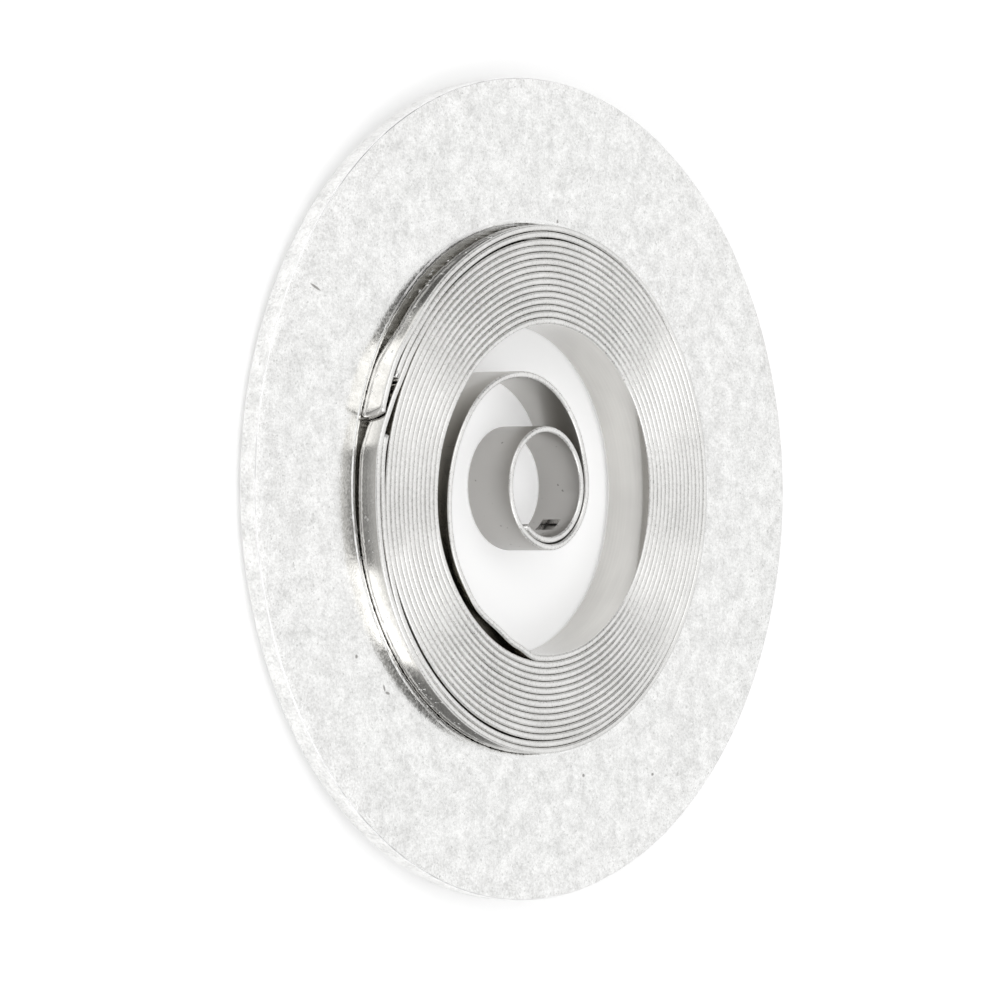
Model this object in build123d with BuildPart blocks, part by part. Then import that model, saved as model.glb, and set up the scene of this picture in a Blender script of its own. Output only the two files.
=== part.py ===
from build123d import *
import math
import os

# A watch-type spiral power spring, wound and held ready in its round retaining ring.
# Lengths are in millimetres and angles in degrees, counterclockwise from +X seen from above.
# The origin is on the ring's axis, at the level of the strip's lower edges. +Z is the ring's axis.

# Flat ring that holds the wound coil by its bore. It sits a little askew, higher on its +X side
ring_outer_diameter = 16.3
ring_bore_diameter = 10.5
ring_thickness = 0.40
ring_middle_height = 0.51
ring_tilt_angle = 1.4
ring_outer_edge_bevel = 0.04
ring_bore_edge_bevel = 0.025

# Strip that both springs are cut from
strip_thickness = 0.115
strip_height = 1.10
turn_gap = 0.015
bore_clearance = 0.015

# Wound coil, counted inwards from the bore
coil_turns = 13
bridle_layers = 1
turn_step_angle = 60.0
last_step_straight_radius = 20.0
last_step_bend_radius = 3.0

# Outer end of the long strip: a rounded tongue that lies against the bore, just past its last step
tongue_angle = 163.6
tongue_lap_angle = 11.6
tongue_tip_length = 0.17

# Short strip of its own, laid under the last turn, with both ends just past the start of the steps
bridle_start_lap_angle = 6.0
bridle_end_lap_angle = 3.0

# Inner end: the strip leaves the coil, makes one wide loop and closes into the eye
coil_leave_angle = 265.0
leave_bend_tightening = 0.42
leave_bend_end_angle = 212.0
wide_loop_radius = 2.94
wide_loop_end_angle = 140.0
loop_radius = 2.05
loop_end_angle = -7.0
eye_radius = 1.19
eye_gap = 0.015
eye_end_angle = -131.0

# Hook window in the innermost turn of the eye, for the arbor's hook
window_angle = -50.0
window_length = 0.39
window_height = 0.44

# Worked-out sizes
pitch = strip_thickness + turn_gap
half_strip = strip_thickness / 2
ring_outer_radius = ring_outer_diameter / 2
ring_bore_radius = ring_bore_diameter / 2
ring_tilt = math.radians(ring_tilt_angle)
last_turn_radius = ring_bore_radius - bore_clearance - half_strip
last_step = pitch * (1 + bridle_layers)
coil_inner_radius = last_turn_radius - last_step - (coil_turns - 1) * pitch
leave_bend_radius = coil_inner_radius - leave_bend_tightening
turn_step_start = tongue_angle - tongue_lap_angle
bridle_start_direction = turn_step_start + bridle_start_lap_angle
bridle_end_angle = turn_step_start + bridle_end_lap_angle


def direction(angle):
    return Vector(math.cos(math.radians(angle)), math.sin(math.radians(angle)))


class Bend:
    """One round stretch of a strip's middle line, from its inner to its outer end."""

    def __init__(self, centre, radius, start, end):
        self.centre = centre
        self.radius = radius
        self.start = start
        self.end = end

    def wall(self, side):
        """The arc at one face of the strip, side -1 for the inner and 1 for the outer face."""
        radius = self.radius + side * half_strip
        return CenterArc(tuple(self.centre), radius, self.start, self.end - self.start)


def step_out(radius, step, start, entry_radius, exit_radius):
    """Two tangent bends that carry a round turn outwards by one step, with the angle where they end."""
    entry_shift = entry_radius - radius
    exit_shift = radius + step - exit_radius
    turn = (2 * step * (entry_shift + exit_shift) - step**2) / (2 * entry_shift * exit_shift)
    end = start + math.degrees(math.acos(1 - turn))
    entry_centre = direction(start) * -entry_shift
    exit_centre = direction(end) * exit_shift
    across = exit_centre - entry_centre
    joint = math.degrees(math.atan2(across.Y, across.X)) % 360
    entry = Bend(entry_centre, entry_radius, start, joint)
    leave = Bend(exit_centre, exit_radius, joint, end)
    return entry, leave


def easy_shift(step, angle):
    """How far both centres of an even step lie from the axis, for a step over the given angle."""
    spread = 1 - math.cos(math.radians(angle))
    return step * (2 + math.sqrt(4 - 2 * spread)) / (2 * spread)


def strip_profile(bends):
    """Closed outline of a strip that follows the bends."""
    for side in (1, -1):
        for bend in bends:
            bend.wall(side)
    first, last = bends[0], bends[-1]
    for bend, angle in ((first, first.start), (last, last.end)):
        inner = bend.centre + direction(angle) * (bend.radius - half_strip)
        outer = bend.centre + direction(angle) * (bend.radius + half_strip)
        Line(inner, outer)


# Middle line of the wound coil: round turns, each stepped out over the one before
coil_bends = []
turn_radius = coil_inner_radius
turn_start = coil_leave_angle
shift = easy_shift(pitch, turn_step_angle)
for turn in range(coil_turns - 1):
    coil_bends.append(Bend(Vector(0, 0), turn_radius, turn_start, turn_step_start + 360))
    entry_radius = turn_radius + shift
    exit_radius = turn_radius + pitch - shift
    coil_bends.extend(step_out(turn_radius, pitch, turn_step_start, entry_radius, exit_radius))
    turn_start = coil_bends[-1].end
    turn_radius += pitch
coil_bends.append(Bend(Vector(0, 0), turn_radius, turn_start, turn_step_start + 360))
last_steps = step_out(
    turn_radius, last_step, turn_step_start, last_step_straight_radius, last_step_bend_radius
)
coil_bends.extend(last_steps)
tip_angle = math.degrees(tongue_tip_length / last_turn_radius)
coil_bends.append(
    Bend(Vector(0, 0), last_turn_radius, last_steps[-1].end, tongue_angle + tip_angle + 360)
)

# Middle line of the inner end, followed from the coil inwards, so each bend runs backwards
inner_bends = []
inner_radius = coil_inner_radius
centre = Vector(0, 0)
angle = coil_leave_angle
eye_step = (strip_thickness + eye_gap) / 2
half_turn_angle = loop_end_angle - 180
full_turn_angle = loop_end_angle - 360
for radius, end in (
    (leave_bend_radius, leave_bend_end_angle),
    (wide_loop_radius, wide_loop_end_angle),
    (loop_radius, loop_end_angle),
    (eye_radius, half_turn_angle),
    (eye_radius - eye_step, full_turn_angle),
    (eye_radius - 2 * eye_step, eye_end_angle - 360),
):
    centre = centre + direction(angle) * (inner_radius - radius)
    inner_bends.insert(0, Bend(centre, radius, end, angle))
    inner_radius = radius
    angle = end
eye_centre = inner_bends[0].centre

# Long strip
with BuildPart() as mainspring:
    with BuildSketch() as mainspring_profile:
        with BuildLine():
            strip_profile(inner_bends + coil_bends)
        make_face()
    extrude(amount=strip_height)

    # Rounded tip: what lies past an arc over the strip's height is cut off its outer end
    tip_root = direction(tongue_angle) * (last_turn_radius - strip_thickness)
    tip_plane = Plane(
        origin=(tip_root.X, tip_root.Y, strip_height / 2),
        x_dir=tuple(direction(tongue_angle + 90)),
        z_dir=tuple(direction(tongue_angle)),
    )
    with BuildSketch(tip_plane):
        with BuildLine():
            half_height = strip_height / 2
            ThreePointArc((0, -half_height), (tongue_tip_length, 0), (0, half_height))
            Polyline(
                (0, half_height),
                (0, strip_height),
                (strip_height / 2, strip_height),
                (strip_height / 2, -strip_height),
                (0, -strip_height),
                (0, -half_height),
            )
        make_face()
    extrude(amount=2 * strip_thickness, mode=Mode.SUBTRACT)

    # Window in the innermost turn of the eye
    window_half_angle = math.degrees(window_length / eye_radius) / 2
    window_inside = eye_radius - 2 * eye_step - strip_thickness
    window_outside = eye_radius - 2 * eye_step + half_strip + eye_gap / 2
    window_level = (strip_height - window_height) / 2
    with BuildSketch(Plane.XY.offset(window_level)):
        with BuildLine():
            window_start = window_angle - window_half_angle
            for radius in (window_inside, window_outside):
                CenterArc(tuple(eye_centre), radius, window_start, 2 * window_half_angle)
            for side in (-1, 1):
                edge_direction = direction(window_angle + side * window_half_angle)
                Line(eye_centre + edge_direction * window_inside, eye_centre + edge_direction * window_outside)
        make_face()
    extrude(amount=window_height, mode=Mode.SUBTRACT)
mainspring.part.label = "mainspring"

# Short strip, which follows the last turn's step and then lies round inside it
bridle_step = last_steps[-1]
bridle_radius = last_turn_radius - pitch
bridle_bends = [
    Bend(bridle_step.centre, bridle_step.radius - pitch, bridle_start_direction, bridle_step.end),
    Bend(Vector(0, 0), bridle_radius, bridle_step.end, bridle_end_angle + 360),
]
with BuildPart() as bridle:
    with BuildSketch() as bridle_profile:
        with BuildLine():
            strip_profile(bridle_bends)
        make_face()
    extrude(amount=strip_height)
bridle.part.label = "bridle"

# Retaining ring, with its four edges broken by a small bevel
ring_plane = Plane(
    origin=(0, 0, ring_middle_height),
    x_dir=(math.cos(ring_tilt), 0, math.sin(ring_tilt)),
    z_dir=(-math.sin(ring_tilt), 0, math.cos(ring_tilt)),
)
with BuildPart() as retaining_ring:
    with BuildSketch(ring_plane):
        Circle(ring_outer_radius)
        Circle(ring_bore_radius, mode=Mode.SUBTRACT)
    extrude(amount=ring_thickness / 2, both=True)
    round_edges = retaining_ring.edges().filter_by(GeomType.CIRCLE).sort_by(SortBy.RADIUS)
    chamfer(round_edges[-2:], length=ring_outer_edge_bevel)
    chamfer(round_edges[:2], length=ring_bore_edge_bevel)
retaining_ring.part.label = "retaining_ring"

os.makedirs("parts", exist_ok=True)
export_step(mainspring.part, "parts/mainspring.step")
export_step(bridle.part, "parts/bridle.step")
export_step(retaining_ring.part, "parts/retaining_ring.step")
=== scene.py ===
import math
import bmesh
import bpy
from mathutils import Matrix, Vector, noise


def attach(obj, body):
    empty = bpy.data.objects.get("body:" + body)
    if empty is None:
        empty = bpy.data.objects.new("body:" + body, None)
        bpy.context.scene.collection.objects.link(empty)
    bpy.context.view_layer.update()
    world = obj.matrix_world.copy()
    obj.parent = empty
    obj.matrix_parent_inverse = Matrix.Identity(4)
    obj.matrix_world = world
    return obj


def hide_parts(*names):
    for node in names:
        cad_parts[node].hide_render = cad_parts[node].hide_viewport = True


# A watch-type spiral power spring, wound in its flat retaining ring.
# Sizes are in millimetres and angles in degrees until a mesh is made, then in metres.
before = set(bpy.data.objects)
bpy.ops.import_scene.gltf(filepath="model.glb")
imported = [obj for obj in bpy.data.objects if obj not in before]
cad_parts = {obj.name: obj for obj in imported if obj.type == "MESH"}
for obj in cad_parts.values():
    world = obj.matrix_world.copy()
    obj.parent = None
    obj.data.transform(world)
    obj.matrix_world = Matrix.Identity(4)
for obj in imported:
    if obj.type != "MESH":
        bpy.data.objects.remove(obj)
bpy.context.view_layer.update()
mm = 0.001

# Flat ring: the same sizes as the solid
ring_outer_radius = 8.15
ring_bore_radius = 5.25
ring_thickness = 0.40
ring_middle_height = 0.51
ring_tilt_angle = 1.4
ring_tilt = math.radians(ring_tilt_angle)
ring_outer_edge_radius = 0.025
ring_bore_edge_radius = 0.02

# Lip that wear has raised on the ring's face beside the bore, over a part of the way round.
# Distances are from the bore, and the share says how much of the lip there is at an angle round it.
lip_height = 0.022
lip_start = 0.06
lip_width = 0.045
lip_round = (
    (142, 0.0),
    (152, 1.0),
    (222, 1.0),
    (234, 0.0),
)

# Wear that leaves the ring's two round edges a little uneven, and how far from the edges it reaches.
# It comes and goes in long waves and in fine ones.
bore_wear = 0.03
bore_wear_reach = 0.12
outer_wear = 0.008
outer_wear_reach = 0.06
long_waves = 9
fine_waves = 70

# Strip of both springs
strip_thickness = 0.115
strip_height = 1.10
turn_gap = 0.015
bore_clearance = 0.015
pitch = strip_thickness + turn_gap

# The shown strip is a little thicker than the solid, so that its turns nearly touch as the real ones do.
# Its upper edges are a little uneven, with that many waves a millimetre.
shown_thickness = 0.124
half_strip = shown_thickness / 2
strip_edge_radius = 0.04
tip_edge_radius = 0.10
tip_edge_start = 0.015
top_unevenness = 0.012
top_waves = 0.45

# Wound coil, tongue and bridle
coil_turns = 13
bridle_layers = 1
turn_step_angle = 60.0
last_step_straight_radius = 20.0
last_step_bend_radius = 3.0
tongue_angle = 163.6
tongue_lap_angle = 11.6
tongue_tip_length = 0.17
bridle_start_lap_angle = 6.0
bridle_end_lap_angle = 3.0
turn_step_start = tongue_angle - tongue_lap_angle
bridle_start_direction = turn_step_start + bridle_start_lap_angle
bridle_end_angle = turn_step_start + bridle_end_lap_angle
last_turn_radius = ring_bore_radius - bore_clearance - strip_thickness / 2
last_step = pitch * (1 + bridle_layers)
tip_turn = math.degrees((tip_edge_radius + tip_edge_start) / last_turn_radius)
coil_inner_radius = last_turn_radius - last_step - (coil_turns - 1) * pitch

# Inner end: leaving bend, wide loop, loop and eye
coil_leave_angle = 265.0
leave_bend_tightening = 0.42
leave_bend_radius = coil_inner_radius - leave_bend_tightening
leave_bend_end_angle = 212.0
wide_loop_radius = 2.94
wide_loop_end_angle = 140.0
loop_radius = 2.05
loop_end_angle = -7.0
eye_radius = 1.19
eye_gap = 0.015
eye_step = (strip_thickness + eye_gap) / 2
eye_end_angle = -131.0
window_angle = -50.0
window_length = 0.39
window_height = 0.44
window_half_angle = math.degrees(window_length / eye_radius) / 2
window_low = (strip_height - window_height) / 2
window_high = (strip_height + window_height) / 2

# Lengths along the strip from its end at the eye: where the eye and the loop end and the last turn
# starts, and over how much of the strip its finish changes there
eye_length = 10.5
eye_fade = 1.5
loop_length = 15.0
loop_fade = 3.0
last_turn_length = 356.0
last_turn_fade = 2.0

# How the real turns have settled: outward shifts of the strip, eased between angles round the coil
stack_settling = (
    (0, 0.0),
    (60, 0.0),
    (82, -0.02),
    (122, -0.11),
    (140, -0.10),
    (172, -0.01),
    (190, -0.01),
    (221, -0.04),
    (250, -0.02),
    (272, 0.0),
    (300, 0.02),
    (325, 0.02),
    (360, 0.0),
)
# The same from the last bit of the turn before the last to the tongue, where the angle runs on
outer_settling_start = 440
outer_settling = (
    (outer_settling_start, -0.018),
    (482, -0.11),
    (500, -0.095),
    (512, -0.045),
    (524, 0.035),
    (530, 0.01),
    (540, -0.045),
    (563, 0.005),
    (610, 0.008),
    (660, 0.0),
    (805, 0.0),
    (842, -0.08),
    (860, -0.088),
    (874, 0.008),
    (884, 0.008),
)
# The same for the leaving bend and the loops, for the eye's outer turn and for the bridle
inner_settling = (
    (0, 0.035),
    (30, 0.0),
    (100, 0.05),
    (160, 0.02),
    (200, 0.0),
    (225, -0.08),
    (242, -0.18),
    (254, -0.12),
    (265, 0.0),
    (320, 0.0),
    (353, 0.04),
    (360, 0.035),
)
eye_settling = (
    (250, 0.0),
    (300, 0.03),
    (353, 0.04),
)
bridle_settling = (
    (168, 0.015),
    (182, -0.075),
    (192, -0.05),
    (212, 0.008),
    (250, 0.008),
    (300, 0.0),
    (445, -0.005),
    (482, -0.09),
    (498, -0.09),
    (515, -0.03),
)
# The coil also stands a little askew: it rises towards the right, and the outer turns' tops are lower
right_lift = 0.09
lift_fade_length = 6.0
outer_sink = 0.035

# Fineness of the meshes: angle steps along a bend and round the ring, steps in a rounded edge of the
# strip, of the tongue's tip and of the ring, and steps over the height of the tongue
bend_step = 2.0
ring_step = 0.5
strip_edge_steps = 3
tip_edge_steps = 6
ring_edge_steps = 4
tongue_levels = 12

# How far the middle of a mesh face may lie from the round wall that it is a part of
wall_tolerance = 0.004

# Rows of points on the ring's face, by their distance from its edges. The close ones at the bore
# carry the lip and keep it from bending the shading of the face beside it.
face_row_step = 0.3
face_rows = 8
rows_before_lip = (0.25, 0.125)
rows_on_lip = (0.105, 0.09, 0.075)
rows_after_lip = (0.06, 0.045)


def direction(angle):
    """Unit vector at an angle round the coil."""
    return Vector((math.cos(math.radians(angle)), math.sin(math.radians(angle))))


class Bend:
    """One round stretch of a strip's middle line, with how it has settled and the laps before it."""

    def __init__(self, centre, radius, start, end, settling=(), lap=0):
        self.centre = centre
        self.radius = radius
        self.start = start
        self.end = end
        self.settling = settling
        self.lap = lap

    def angles(self, extra=()):
        """Even steps along the bend, with the extra angles in place of what lies close to them."""
        count = max(2, math.ceil(abs(self.end - self.start) / bend_step))
        found = [self.start + (self.end - self.start) * i / count for i in range(count + 1)]
        keep = [a for a in found if all(abs(a - b) > bend_step / 4 for b in extra)]
        return sorted(set(keep) | {b for b in extra if self.start < b < self.end})

    def length(self):
        return self.radius * math.radians(self.end - self.start)

    def around(self, angle):
        """Angle about the coil's axis of a place on this bend, which runs on past 360 on a round turn."""
        if self.centre.length == 0:
            return angle
        place = self.centre + direction(angle) * self.radius
        return math.degrees(math.atan2(place.y, place.x)) % 360

    def shift(self, angle):
        """How far the strip has settled outwards there."""
        around = self.around(angle) + 360 * self.lap
        if self.settling is stack_settling:
            around %= 360
        return eased(self.settling, around)


def eased(points, angle):
    """Value at an angle on a list of (angle, value), eased from point to point."""
    for before, after in zip(points, points[1:]):
        if before[0] <= angle <= after[0]:
            share = (angle - before[0]) / (after[0] - before[0])
            return before[1] + (after[1] - before[1]) * share * share * (3 - 2 * share)
    if not points:
        return 0.0
    return points[0][1] if angle < points[0][0] else points[-1][1]


def step_out(radius, step, start, entry_radius, exit_radius):
    """Two tangent bends that carry a round turn outwards by one step."""
    entry_shift = entry_radius - radius
    exit_shift = radius + step - exit_radius
    turn = (2 * step * (entry_shift + exit_shift) - step**2) / (2 * entry_shift * exit_shift)
    end = start + math.degrees(math.acos(1 - turn))
    entry_centre = direction(start) * -entry_shift
    exit_centre = direction(end) * exit_shift
    across = exit_centre - entry_centre
    joint = math.degrees(math.atan2(across.y, across.x)) % 360
    return [Bend(entry_centre, entry_radius, start, joint), Bend(exit_centre, exit_radius, joint, end)]


def easy_shift(step, angle):
    """How far both centres of an even step lie from the axis, for a step over the given angle."""
    spread = 1 - math.cos(math.radians(angle))
    return step * (2 + math.sqrt(4 - 2 * spread)) / (2 * spread)


def last_step_bends():
    """The larger step where the last turn climbs over the bridle's end."""
    radius = coil_inner_radius + (coil_turns - 1) * pitch
    return step_out(radius, last_step, turn_step_start, last_step_straight_radius, last_step_bend_radius)


def coil_bends():
    """Round turns, each stepped out over the one before, and the last turn over the bridle's end."""
    bends = []
    radius = coil_inner_radius
    start = coil_leave_angle
    shift = easy_shift(pitch, turn_step_angle)
    middle = Vector((0, 0))
    for _ in range(coil_turns - 1):
        bends.append(Bend(middle, radius, start, turn_step_start + 360))
        bends += step_out(radius, pitch, turn_step_start, radius + shift, radius + pitch - shift)
        start = bends[-1].end
        radius += pitch
    bends.append(Bend(middle, radius, start, outer_settling_start))
    for bend in bends:
        bend.settling = stack_settling
    outer = last_step_bends()
    outer.append(Bend(middle, last_turn_radius, outer[-1].end, tongue_angle + 360 - tip_turn))
    for bend in outer:
        bend.settling = outer_settling
        bend.lap = 1
    bends.append(Bend(middle, radius, outer_settling_start, turn_step_start + 360, outer_settling))
    return bends + outer


def inner_bends():
    """Leaving bend, wide loop, loop and the eye's three half turns, in order from the eye outwards."""
    bends = []
    radius_before = coil_inner_radius
    centre = Vector((0, 0))
    angle = coil_leave_angle
    for radius, end, settling in (
        (leave_bend_radius, leave_bend_end_angle, inner_settling),
        (wide_loop_radius, wide_loop_end_angle, inner_settling),
        (loop_radius, loop_end_angle, inner_settling),
        (eye_radius, loop_end_angle - 180, eye_settling),
        (eye_radius - eye_step, loop_end_angle - 360, ()),
        (eye_radius - 2 * eye_step, eye_end_angle - 360, ()),
    ):
        centre = centre + direction(angle) * (radius_before - radius)
        bends.insert(0, Bend(centre, radius, end, angle, settling))
        radius_before = radius
        angle = end
    return bends


# Sections of the strip: closed loops of (across, height), across from the inner to the outer face
def corner(across_sign, top, start):
    """Rounded corner of the section, turning by 90 degrees from the start angle."""
    centre_across = across_sign * (half_strip - strip_edge_radius)
    centre_height = strip_height - strip_edge_radius if top else strip_edge_radius
    points = []
    for i in range(strip_edge_steps + 1):
        out = direction(start + 90 / strip_edge_steps * i) * strip_edge_radius
        points.append((round(centre_across + out.x, 6), round(centre_height + out.y, 6)))
    return points


def section(levels=()):
    """Section loop with extra points on both faces at the given heights."""
    outer = [(half_strip, round(h, 6)) for h in levels]
    inner = [(-half_strip, round(h, 6)) for h in reversed(levels)]
    outer_face = corner(1, False, 270) + outer + corner(1, True, 0)
    inner_face = corner(-1, True, 90) + inner + corner(-1, False, 180)
    return outer_face + inner_face


def stations(stretches):
    """Places along the stretches as (bend, angle, length, section), with one where two stretches meet."""
    found = []
    length = 0.0
    for bend, loop, extra in stretches:
        before = bend.start
        for index, angle in enumerate(bend.angles(extra)):
            if index == 0 and found:
                bend_before, angle_before, length_before, loop_before = found[-1]
                fuller = loop if len(loop) > len(loop_before) else loop_before
                found[-1] = (bend_before, angle_before, length_before, fuller)
                continue
            length += bend.radius * math.radians(angle - before)
            before = angle
            found.append((bend, angle, length, loop))
    return found


def sweep_rings(stretches, lift, seed, with_tip):
    """Places of the section's points at each station, with the tongue's rounded tip if it has one."""
    rings = []
    for bend, angle, length, loop in stations(stretches):
        raised = lift(length, bend.around(angle))
        wave = noise.noise(Vector((length * top_waves, seed, 0)))
        sag = top_unevenness * wave + min(raised, 0.0)
        radius = bend.radius + bend.shift(angle)
        ring = []
        for across, height in loop:
            place = bend.centre + direction(angle) * (radius + across)
            sunk = sag if height > strip_height / 2 else 0
            ring.append((place.x, place.y, height + max(raised, 0.0) + sunk))
        rings.append((ring, loop, length))
    if not with_tip:
        return rings
    arc_radius = ((strip_height / 2) ** 2 + tongue_tip_length**2) / (2 * tongue_tip_length)
    for count in range(tip_edge_steps + 1):
        turn = direction(90 / tip_edge_steps * count)
        back = tip_edge_radius * (1 - turn.y)
        thinner = 1 - tip_edge_radius / shown_thickness * (1 - turn.x)
        ring = []
        for across, height in loop:
            arc = math.sqrt(arc_radius**2 - (height - strip_height / 2) ** 2)
            reach = arc - arc_radius + tongue_tip_length - back
            out = direction(tongue_angle + math.degrees(reach / bend.radius))
            place = out * (radius - half_strip + (across + half_strip) * thinner)
            sunk = sag if height > strip_height / 2 else 0
            ring.append((place.x, place.y, height + sunk))
        rings.append((ring, loop, length + (count + 1) * tip_edge_radius))
    return rings


def strip_mesh(name, stretches, lift, seed, with_tip=False):
    """A strip swept along stretches of (bend, section, extra angles), closed at its ends.

    Its map "Strip" gives the length along the strip and the distance round its section, in millimetres.
    """
    rings = sweep_rings(stretches, lift, seed, with_tip)
    verts, faces, maps, kinds, firsts = [], [], [], [], []
    for ring, _, _ in rings:
        firsts.append(len(verts))
        verts += [(x * mm, y * mm, z * mm) for x, y, z in ring]
    for index in range(len(rings) - 1):
        a, b = index, index + 1
        few, many = (a, b) if len(rings[a][1]) <= len(rings[b][1]) else (b, a)
        loop, full = rings[few][1], rings[many][1]
        matched = [full.index(point) for point in loop]
        around = perimeters(loop)
        for i in range(len(loop)):
            j = (i + 1) % len(loop)
            stop = matched[j] if matched[j] > matched[i] else matched[j] + len(full)
            between = range(stop, matched[i] - 1, -1)
            low, high = around[i], around[i + 1]
            face = [firsts[few] + i, firsts[few] + j]
            face += [firsts[many] + k % len(full) for k in between]
            steps = len(between) - 1
            spots = [(rings[few][2], low), (rings[few][2], high)]
            spots += [(rings[many][2], high + (low - high) * k / steps) for k in range(steps + 1)]
            if few == b:
                face, spots = face[::-1], spots[::-1]
            faces.append(face)
            maps.append(spots)
            on_wall = loop[i][0] == loop[j][0] and abs(loop[i][0]) == half_strip
            kinds.append(0 if on_wall else 1)
    for index, backwards in ((0, True), (len(rings) - 1, False)):
        face = [firsts[index] + i for i in range(len(rings[index][1]))]
        faces.append(face[::-1] if backwards else face)
        maps.append([(rings[index][2], 0.0)] * len(face))
        kinds.append(1)
    mesh = bpy.data.meshes.new(name)
    mesh.from_pydata(verts, [], faces)
    layer = mesh.uv_layers.new(name="Strip")
    layer.data.foreach_set("uv", [value for spots in maps for spot in spots for value in spot])
    mesh.polygons.foreach_set("material_index", kinds)
    mesh.polygons.foreach_set("use_smooth", [True] * len(faces))
    mesh.update()
    return mesh


def perimeters(loop):
    """Distance around the section at each point and back at the first."""
    total, found = 0.0, [0.0]
    for a, b in zip(loop, loop[1:] + loop[:1]):
        total += math.dist(a, b)
        found.append(total)
    return found


def make_piece(name, mesh, node):
    """Puts a mesh in the scene as the piece that stands for a node of the solid model."""
    piece = bpy.data.objects.new(name, mesh)
    bpy.context.scene.collection.objects.link(piece)
    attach(piece, "root")
    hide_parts(node)
    return piece


def cut_window(mesh, bend):
    """Opens the hook window in the innermost turn and gives it its four inner walls."""
    start = math.radians(window_angle - window_half_angle)
    end = math.radians(window_angle + window_half_angle)
    centre = bend.centre * mm
    inner = (bend.radius - half_strip) * mm
    outer = (bend.radius + half_strip) * mm

    def from_centre(place):
        return Vector((place.x, place.y)) - centre

    bm = bmesh.new()
    bm.from_mesh(mesh)
    gone = []
    for face in bm.faces:
        middle = face.calc_center_median()
        out = from_centre(middle)
        on_turn = min(abs(out.length - inner), abs(out.length - outer)) < wall_tolerance * mm
        in_length = start < math.atan2(out.y, out.x) < end
        in_height = window_low * mm < middle.z < window_high * mm
        upright = abs(face.normal.z) < 0.5
        if on_turn and in_length and in_height and upright:
            gone.append(face)
    bmesh.ops.delete(bm, geom=gone, context="FACES_ONLY")
    rim = [e for e in bm.edges if len(e.link_faces) == 1]
    half_way = (inner + outer) / 2
    rim_inner = [e for e in rim if all(from_centre(v.co).length < half_way for v in e.verts)]
    rim_outer = [e for e in rim if e not in rim_inner]
    made = bmesh.ops.bridge_loops(bm, edges=rim_inner + rim_outer)
    for face in made["faces"]:
        face.material_index = 1
        face.smooth = False
        for e in face.edges:
            e.smooth = False
    loose = [e for e in bm.edges if not e.link_faces]
    bmesh.ops.delete(bm, geom=loose, context="EDGES")
    bmesh.ops.recalc_face_normals(bm, faces=bm.faces)
    bm.to_mesh(mesh)
    bm.free()


def coil_lift(progress, around):
    """How far the wound strip is raised or sunk. Progress is 0 at its inner and 1 at its outer end."""
    rightwards = 0.5 + 0.5 * math.cos(math.radians(around))
    return right_lift * rightwards - outer_sink * progress


def mainspring_piece():
    """The long strip, with its hook window and its rounded tongue."""
    plain = section()
    windowed = section([window_low, window_high])
    tip = section([strip_height * i / tongue_levels for i in range(1, tongue_levels)])
    inner = inner_bends()
    edges = [window_angle - 360 + side * window_half_angle for side in (-1, 1)]
    stretches = [(inner[0], windowed, edges)]
    stretches += [(bend, plain, ()) for bend in inner[1:]]
    coil = coil_bends()
    stretches += [(bend, plain, ()) for bend in coil[:-1]]
    end = coil[-1]
    last_bit = (end.start + end.end) / 2
    stretches += [(Bend(end.centre, end.radius, end.start, last_bit, end.settling, end.lap), plain, ())]
    stretches += [(Bend(end.centre, end.radius, last_bit, end.end, end.settling, end.lap), tip, ())]
    inner_length = sum(bend.length() for bend in inner)
    coil_length = sum(bend.length() for bend in coil)

    def lift(length, around):
        if length < inner_length:
            share = max(0.0, 1 - (inner_length - length) / lift_fade_length)
            return coil_lift(0, coil_leave_angle) * share * share * (3 - 2 * share)
        return coil_lift((length - inner_length) / coil_length, around)

    mesh = strip_mesh("mainspring_strip", stretches, lift, seed=3.0, with_tip=True)
    cut_window(mesh, inner[0])
    return make_piece("mainspring_strip", mesh, "mainspring")


def bridle_piece():
    """The short strip, which follows the last turn's step and then lies round inside it."""
    step = last_step_bends()[-1]
    radius = last_turn_radius - pitch
    bends = [
        Bend(step.centre, step.radius - pitch, bridle_start_direction, step.end, bridle_settling),
        Bend(Vector((0, 0)), radius, step.end, bridle_end_angle + 360, bridle_settling),
    ]
    plain = section()
    stretches = [(bend, plain, ()) for bend in bends]

    def lift(length, around):
        return coil_lift(1, around)

    mesh = strip_mesh("bridle_strip", stretches, lift, seed=8.0)
    return make_piece("bridle_strip", mesh, "bridle")


# Axes, middle and upper face of the tilted ring
ring_x = Vector((math.cos(ring_tilt), 0, math.sin(ring_tilt)))
ring_y = Vector((0, 1, 0))
ring_z = Vector((-math.sin(ring_tilt), 0, math.cos(ring_tilt)))
ring_turn = Matrix((ring_x, ring_y, ring_z)).transposed()
ring_middle = Vector((0, 0, ring_middle_height))
ring_face = ring_middle + ring_z * ring_thickness / 2


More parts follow.
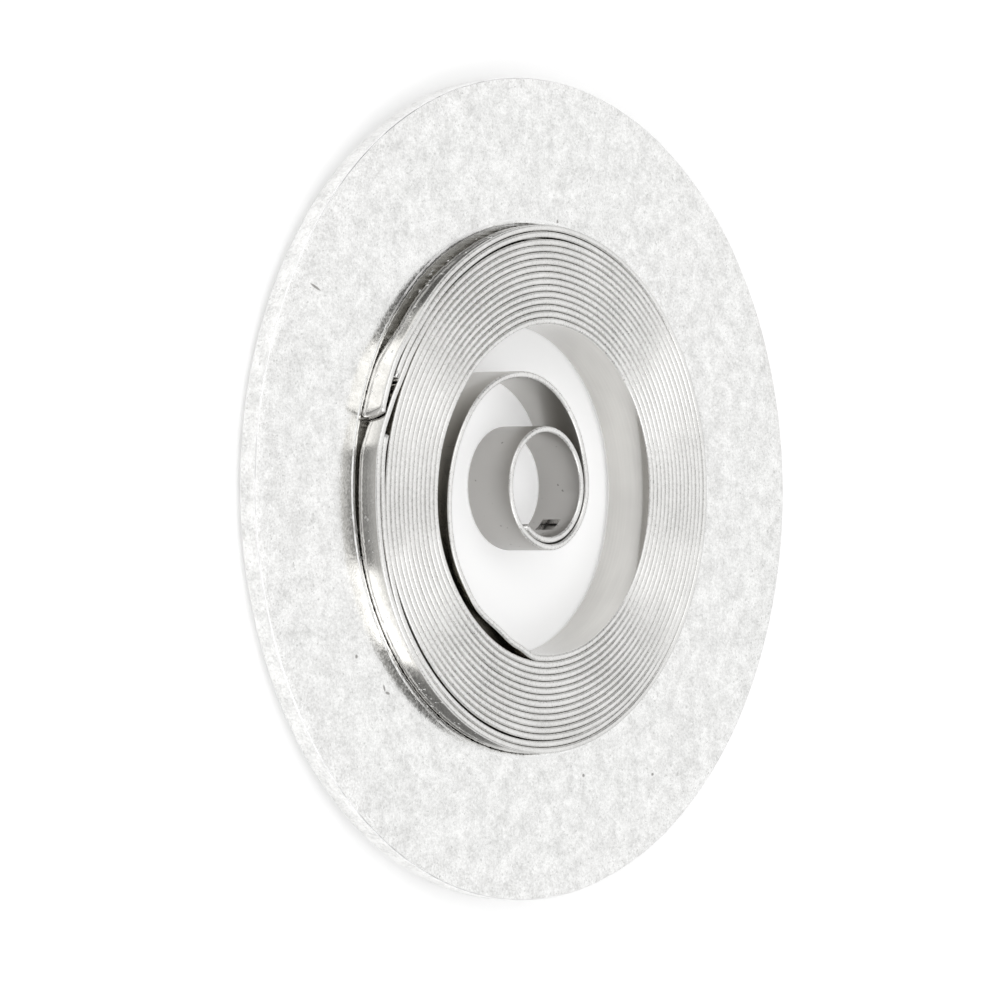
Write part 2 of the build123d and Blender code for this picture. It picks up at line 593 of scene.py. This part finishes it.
def ring_section():
    """Closed loop of (radius, height, worn) with rounded edges, where worn puts the face after the point in
    the worn edge material, with its painted highlight.

    The height is from the ring's middle plane.
    """
    half = ring_thickness / 2
    loop = []
    for radius, edge, side, top, start in (
        (ring_outer_radius, ring_outer_edge_radius, -1, False, 270),
        (ring_outer_radius, ring_outer_edge_radius, -1, True, 0),
        (ring_bore_radius, ring_bore_edge_radius, 1, True, 90),
        (ring_bore_radius, ring_bore_edge_radius, 1, False, 180),
    ):
        centre = (radius + side * edge, (half - edge) if top else (edge - half))
        for i in range(ring_edge_steps + 1):
            angle = math.radians(start + 90 / ring_edge_steps * i)
            place = (centre[0] + edge * math.cos(angle), centre[1] + edge * math.sin(angle))
            loop.append((*place, i < ring_edge_steps))
        if radius == ring_outer_radius and top:
            face_radii = [ring_outer_radius - face_row_step * k for k in range(1, face_rows + 1)]
            loop += [(face_radius, half, False) for face_radius in face_radii]
            loop += [(ring_bore_radius + out, half, False) for out in rows_before_lip]
            loop += [(ring_bore_radius + out, half, True) for out in rows_on_lip]
            loop += [(ring_bore_radius + out, half, False) for out in rows_after_lip]
    return loop


def lip_rise(radius, height, share):
    """How far the lip raises a point of the ring's section."""
    across = (radius - ring_bore_radius - lip_start) / lip_width
    if height < ring_thickness / 2 - ring_bore_edge_radius or not 0 < across < 1:
        return 0.0
    return lip_height * share * math.sin(math.pi * across)


def ring_piece():
    """The ring's section carried round its axis, with its wear and its lip."""
    loop = ring_section()
    count = round(360 / ring_step)
    verts, faces, kinds = [], [], []
    for i in range(count):
        out = direction(i * ring_step)
        wave = abs(noise.noise(Vector((out.x * long_waves, out.y * long_waves, 5))))
        fine = abs(noise.noise(Vector((out.x * fine_waves, out.y * fine_waves, 9))))
        # The lip is broken where the waves are weak
        unbroken = min(1.0, max(0.0, 4 * fine + 2 * wave - 0.3))
        share = eased(lip_round, i * ring_step) * unbroken
        for radius, height, _ in loop:
            worn = 0.0
            if radius < ring_bore_radius + bore_wear_reach:
                worn = bore_wear * (fine + wave / 3)
            if radius > ring_outer_radius - outer_wear_reach:
                worn = -outer_wear * wave
            raised = lip_rise(radius, height, share)
            local = Vector((out.x * (radius + worn), out.y * (radius + worn), height + raised))
            verts.append((ring_middle + ring_turn @ local) * mm)
    size = len(loop)
    for i in range(count):
        for j in range(size):
            after, next_j = (i + 1) % count, (j + 1) % size
            faces.append((i * size + j, after * size + j, after * size + next_j, i * size + next_j))
            kinds.append(1 if loop[j][2] else 0)
    mesh = bpy.data.meshes.new("retaining_ring_disc")
    mesh.from_pydata(verts, [], faces)
    mesh.polygons.foreach_set("material_index", kinds)
    mesh.polygons.foreach_set("use_smooth", [True] * len(faces))
    mesh.update()
    return make_piece("retaining_ring_disc", mesh, "retaining_ring")


# Materials. Scales of noise are per metre, or per millimetre on the strip's own map, and the heights
# of bumps are in metres
class Nodes:
    """Short names for building a node tree."""

    def __init__(self, tree):
        self.tree = tree
        tree.nodes.clear()

    def add(self, kind, **settings):
        node = self.tree.nodes.new(kind)
        for key, value in settings.items():
            setattr(node, key, value)
        return node

    def join(self, output, socket):
        self.tree.links.new(output, socket)

    def put(self, value, socket):
        if isinstance(value, bpy.types.NodeSocket):
            self.join(value, socket)
        else:
            socket.default_value = value

    def math(self, operation, a, b):
        node = self.add("ShaderNodeMath", operation=operation)
        self.put(a, node.inputs[0])
        self.put(b, node.inputs[1])
        return node.outputs[0]

    def noise(self, vector, scale, detail, rough):
        node = self.add("ShaderNodeTexNoise")
        self.join(vector, node.inputs["Vector"])
        node.inputs["Scale"].default_value = scale
        node.inputs["Detail"].default_value = detail
        node.inputs["Roughness"].default_value = rough
        return node.outputs["Fac"]

    def spread(self, value, low, high, to_low=0.0, to_high=1.0):
        """Carries the range from low to high over to another range, and stays within it."""
        node = self.add("ShaderNodeMapRange")
        self.put(value, node.inputs["Value"])
        node.inputs["From Min"].default_value = low
        node.inputs["From Max"].default_value = high
        node.inputs["To Min"].default_value = to_low
        node.inputs["To Max"].default_value = to_high
        return node.outputs["Result"]

    def stretch(self, vector, scale):
        node = self.add("ShaderNodeVectorMath", operation="MULTIPLY")
        self.join(vector, node.inputs[0])
        node.inputs[1].default_value = scale
        return node.outputs[0]

    def mark(self, vector, x, y, half_length, half_width, turn):
        """1 within a small oval mark at (x, y) in millimetres, turned by an angle, and 0 past its rim."""
        moved = self.add("ShaderNodeVectorMath", operation="SUBTRACT")
        self.join(vector, moved.inputs[0])
        moved.inputs[1].default_value = (x * mm, y * mm, 0)
        turned = self.add("ShaderNodeVectorRotate", rotation_type="Z_AXIS")
        self.join(moved.outputs[0], turned.inputs["Vector"])
        turned.inputs["Angle"].default_value = -math.radians(turn)
        flat = self.stretch(turned.outputs[0], (1 / (half_length * mm), 1 / (half_width * mm), 0))
        length = self.add("ShaderNodeVectorMath", operation="LENGTH")
        self.join(flat, length.inputs[0])
        return self.spread(length.outputs["Value"], 1.15, 0.7)

    def mix(self, factor, a, b):
        """Mix of two colours, by the mix node's sockets for colours."""
        node = self.add("ShaderNodeMix", data_type="RGBA")
        self.put(factor, node.inputs["Factor"])
        self.put(a, node.inputs[6])
        self.put(b, node.inputs[7])
        return node.outputs[2]

    def bump(self, height, distance):
        node = self.add("ShaderNodeBump")
        self.join(height, node.inputs["Height"])
        node.inputs["Distance"].default_value = distance
        return node.outputs["Normal"]


def metal(name):
    """A bare metal material, with its nodes and its shader."""
    material = bpy.data.materials.new(name)
    material.use_nodes = True
    n = Nodes(material.node_tree)
    shader = n.add("ShaderNodeBsdfPrincipled")
    shader.inputs["Metallic"].default_value = 1.0
    output = n.add("ShaderNodeOutputMaterial")
    n.join(shader.outputs["BSDF"], output.inputs["Surface"])
    return material, n, shader


# Small marks on the ring's face: (x, y, half length, half width, angle)
ring_marks = (
    (-6.42, 3.83, 0.17, 0.025, -24),
    (-4.40, -3.90, 0.07, 0.028, -70),
    (-4.30, -4.00, 0.07, 0.028, -15),
    (-5.22, -3.28, 0.04, 0.04, 0),
    (0.86, 5.31, 0.03, 0.06, 0),
    (1.67, -5.71, 0.04, 0.035, 0),
    (3.86, -5.73, 0.04, 0.03, 0),
)


def tumbled_metal():
    """Pale face, matte from fine dense grain, with soft clouds, small pits and a few marks."""
    material, n, shader = metal("tumbled_metal")
    place = n.add("ShaderNodeTexCoord").outputs["Object"]
    grain = n.noise(place, 2600, 4, 0.85)
    fine = n.noise(place, 17000, 2, 0.7)
    pits = n.spread(n.noise(place, 14000, 1, 0.5), 0.66, 0.76)
    tone = n.math("ADD", n.math("MULTIPLY", grain, 0.6), n.math("MULTIPLY", fine, 0.4))
    dull_grey = (0.68, 0.68, 0.67, 1)
    bright_grey = (0.99, 0.99, 0.98, 1)
    pit_grey = (0.45, 0.45, 0.44, 1)
    mark_grey = (0.30, 0.29, 0.28, 1)
    paint = n.mix(n.spread(tone, 0.36, 0.61), dull_grey, bright_grey)
    paint = n.mix(n.math("MULTIPLY", pits, 0.5), paint, pit_grey)
    for x, y, half_length, half_width, turn in ring_marks:
        mark = n.mark(place, x, y, half_length, half_width, turn)
        paint = n.mix(n.math("MULTIPLY", mark, 0.9), paint, mark_grey)
    n.join(paint, shader.inputs["Base Color"])
    n.join(n.spread(fine, 0.40, 0.66, 0.10, 0.24), shader.inputs["Roughness"])
    n.join(n.bump(fine, 0.000002), shader.inputs["Normal"])
    return material


def worn_and_highlit_edge():
    """The ring's rounded edges and the top of its lip, worn, with a painted highlight in bright dashes."""
    material, n, shader = metal("worn_and_highlit_edge")
    place = n.add("ShaderNodeTexCoord").outputs["Object"]
    # Bright dashes of base colour paint the edges' highlight on top of their real wear
    highlight_dashes = n.spread(n.noise(place, 1600, 3, 0.65), 0.42, 0.54)
    dull_grey = (0.86, 0.86, 0.855, 1)
    bright_grey = (1.0, 1.0, 0.995, 1)
    n.join(n.mix(highlight_dashes, dull_grey, bright_grey), shader.inputs["Base Color"])
    n.join(n.spread(highlight_dashes, 0.0, 1.0, 0.30, 0.45), shader.inputs["Roughness"])
    return material


def steel_wall():
    """The strip's faces: bright rolled steel with faint streaks along it.

    The last turn has pale flecks. The loop is plainer and less glossy, and the eye is also darker, with a
    few dark specks.
    """
    material, n, shader = metal("rolled_steel_face")
    along = n.add("ShaderNodeUVMap", uv_map="Strip").outputs["UV"]
    place = n.add("ShaderNodeTexCoord").outputs["Object"]
    split = n.add("ShaderNodeSeparateXYZ")
    n.join(along, split.inputs[0])
    length = split.outputs["X"]
    on_last_turn = n.spread(length, last_turn_length - last_turn_fade, last_turn_length)
    at_loop = n.spread(length, loop_length + loop_fade, loop_length)
    at_eye = n.spread(length, eye_length, eye_length - eye_fade)

    streaks = n.noise(n.stretch(along, (0.35, 22.0, 1.0)), 1.0, 3, 0.55)
    waves = n.noise(n.stretch(along, (0.7, 1.0, 1.0)), 1.0, 2, 0.5)
    tone = n.math("ADD", n.math("MULTIPLY", streaks, 0.3), n.math("MULTIPLY", waves, 0.7))
    flecks = n.math("MULTIPLY", on_last_turn, n.spread(n.noise(place, 9000, 1, 0.5), 0.68, 0.72))
    specks = n.math("MULTIPLY", at_eye, n.spread(n.noise(place, 8500, 1, 0.5), 0.74, 0.77))

    dull_steel = (0.59, 0.58, 0.56, 1)
    bright_steel = (0.67, 0.66, 0.635, 1)
    loop_steel = (0.63, 0.62, 0.6, 1)
    eye_steel = (0.46, 0.45, 0.435, 1)
    speck_grey = (0.24, 0.23, 0.22, 1)
    fleck_white = (0.98, 0.98, 0.97, 1)
    paint = n.mix(n.spread(tone, 0.35, 0.65), dull_steel, bright_steel)
    paint = n.mix(at_loop, paint, loop_steel)
    paint = n.mix(at_eye, paint, eye_steel)
    paint = n.mix(specks, paint, speck_grey)
    n.join(n.mix(flecks, paint, fleck_white), shader.inputs["Base Color"])

    streaks = n.math("MULTIPLY", streaks, n.math("SUBTRACT", 1, n.math("MULTIPLY", at_loop, 0.8)))
    rough = n.math("ADD", n.spread(streaks, 0.3, 0.7, 0.07, 0.12), n.math("MULTIPLY", at_loop, 0.26))
    n.join(n.math("MAXIMUM", rough, n.math("MULTIPLY", flecks, 0.7)), shader.inputs["Roughness"])
    n.join(n.bump(streaks, 0.0000003), shader.inputs["Normal"])
    return material


def steel_edge():
    """The strip's narrow edges: paler, with fine grain."""
    material, n, shader = metal("rolled_steel_edge")
    place = n.add("ShaderNodeTexCoord").outputs["Object"]
    grain = n.noise(place, 14000, 3, 0.6)
    clouds = n.noise(place, 900, 2, 0.5)
    tone = n.math("ADD", n.math("MULTIPLY", grain, 0.6), n.math("MULTIPLY", clouds, 0.4))
    dull_steel = (0.69, 0.685, 0.67, 1)
    bright_steel = (0.87, 0.865, 0.85, 1)
    n.join(n.mix(n.spread(tone, 0.35, 0.65), dull_steel, bright_steel), shader.inputs["Base Color"])
    n.join(n.spread(grain, 0.3, 0.7, 0.24, 0.36), shader.inputs["Roughness"])
    n.join(n.bump(grain, 0.0000012), shader.inputs["Normal"])
    return material


# Stage: a pale floor that stays white to the eye and in reflections, and keeps the shadow. Size in metres
floor_size = 3.0
floor_grey = (0.8, 0.8, 0.8, 1)
floor_glow = 0.32


def floor_material():
    material = bpy.data.materials.new("pale_floor")
    material.use_nodes = True
    n = Nodes(material.node_tree)
    diffuse = n.add("ShaderNodeBsdfDiffuse")
    diffuse.inputs["Color"].default_value = floor_grey
    glow = n.add("ShaderNodeEmission")
    path = n.add("ShaderNodeLightPath")
    seen = n.math("MAXIMUM", path.outputs["Is Camera Ray"], path.outputs["Is Glossy Ray"])
    seen = n.math("MAXIMUM", seen, path.outputs["Is Transmission Ray"])
    n.join(n.math("MULTIPLY", seen, floor_glow), glow.inputs["Strength"])
    both = n.add("ShaderNodeAddShader")
    n.join(diffuse.outputs[0], both.inputs[0])
    n.join(glow.outputs[0], both.inputs[1])
    output = n.add("ShaderNodeOutputMaterial")
    n.join(both.outputs[0], output.inputs["Surface"])
    return material


def make_floor():
    mesh = bpy.data.meshes.new("floor")
    half = floor_size / 2
    corners = [(-half, -half, 0), (half, -half, 0), (half, half, 0), (-half, half, 0)]
    mesh.from_pydata(corners, [], [(0, 1, 2, 3)])
    floor = bpy.data.objects.new("floor", mesh)
    bpy.context.scene.collection.objects.link(floor)
    mesh.materials.append(floor_material())


# Studio: soft light all round. A belt of it at the height of the lens has two soft boxes and the darker
# gaps of a small light tent. Above the belt the light is even and a little stronger, and weaker again
# right overhead, and below the belt it is even too. Heights are angles above the floor, and each change
# starts at the first and is over at the second.
studio_level = 1.12
overhead_level = 1.28
top_level = 1.05
low_level = 0.9
belt_low_fade = (30, 23)
belt_high_fade = (50, 56)
top_fade = (74, 80)

# Level of the belt at angles round it
studio_round = (
    (-180, 0.38),
    (-152, 0.38),
    (-147, 3.0),
    (-105, 3.0),
    (-101, 0.26),
    (-44, 0.26),
    (-32, 1.12),
    (22, 1.12),
    (36, 0.20),
    (97, 0.16),
    (102, 2.1),
    (150, 2.1),
    (155, 0.38),
    (180, 0.38),
)


def make_studio():
    world = bpy.data.worlds.new("studio")
    bpy.context.scene.world = world
    world.use_nodes = True
    n = Nodes(world.node_tree)
    toward = n.add("ShaderNodeTexCoord").outputs["Generated"]
    split = n.add("ShaderNodeSeparateXYZ")
    n.join(toward, split.inputs[0])
    azimuth = n.math("ARCTAN2", split.outputs["Y"], split.outputs["X"])
    turn = n.math("ADD", n.math("DIVIDE", azimuth, 2 * math.pi), 0.5)
    ramp = n.add("ShaderNodeValToRGB")
    n.join(turn, ramp.inputs[0])
    stops = ramp.color_ramp.elements
    brightest = max(level for _, level in studio_round)
    for index, (angle, level) in enumerate(studio_round):
        position = angle / 360 + 0.5
        stop = stops[index] if index < len(stops) else stops.new(position)
        stop.position = position
        grey = level / brightest
        stop.color = (grey, grey, grey, 1)
    around = n.math("MULTIPLY", ramp.outputs["Color"], brightest)
    height = split.outputs["Z"]

    def past(fade, to_low=0.0, to_high=1.0):
        start, end = (math.sin(math.radians(angle)) for angle in fade)
        return n.spread(height, start, end, to_low, to_high)

    over = past(belt_high_fade)
    under = past(belt_low_fade)
    overhead = past(top_fade, overhead_level, top_level)
    level = n.math("MULTIPLY", around, n.math("SUBTRACT", n.math("SUBTRACT", 1.0, over), under))
    level = n.math("ADD", level, n.math("MULTIPLY", over, overhead))
    level = n.math("ADD", level, n.math("MULTIPLY", under, low_level))
    background = n.add("ShaderNodeBackground")
    n.join(n.math("MULTIPLY", level, studio_level), background.inputs["Strength"])
    output = n.add("ShaderNodeOutputWorld")
    n.join(background.outputs[0], output.inputs["Surface"])


# Camera: a long lens that looks down on the ring, turned so that the ring's far side is to the right.
# The aim and the distance are in millimetres from the middle of the ring's face, as the camera sees it.
focal_pixels = 8000
image_pixels = 1001
sensor_width = 36.0
view_angle = 49.895
view_lean = -0.335
aim_right = 0.5779
aim_down = -0.2301
view_distance = 158.5769


def make_camera():
    angle = math.radians(view_angle)
    lean = math.radians(view_lean)
    axis = Vector((math.sin(angle), math.sin(lean), -math.cos(angle))).normalized()
    across = Vector((1, 0, 0))
    across = (across - axis * axis.x).normalized()
    up = axis.cross(across)
    seen = Matrix((across, up, axis))
    offset = Vector((aim_right, aim_down, view_distance))
    place = ring_face - ring_turn @ (seen @ offset)
    right = ring_turn @ (seen @ Vector((1, 0, 0)))
    upward = ring_turn @ (seen @ Vector((0, -1, 0)))
    back = ring_turn @ (seen @ Vector((0, 0, -1)))
    camera = bpy.data.cameras.new("camera")
    camera.sensor_width = sensor_width
    camera.lens = focal_pixels / image_pixels * sensor_width
    camera.clip_start = 0.005
    camera.clip_end = 10
    holder = bpy.data.objects.new("camera", camera)
    turned = Matrix((right, upward, back)).transposed().to_4x4()
    holder.matrix_world = Matrix.Translation(place * mm) @ turned
    bpy.context.scene.collection.objects.link(holder)
    bpy.context.scene.camera = holder


wall, edge = steel_wall(), steel_edge()
for strip in (mainspring_piece(), bridle_piece()):
    strip.data.materials.append(wall)
    strip.data.materials.append(edge)
ring = ring_piece()
ring.data.materials.append(tumbled_metal())
ring.data.materials.append(worn_and_highlit_edge())
make_floor()
make_studio()
make_camera()
bpy.context.scene.view_settings.view_transform = "Standard"
# Light comes out of the narrow gaps between the turns only after many reflections
bpy.context.scene.cycles.glossy_bounces = 12
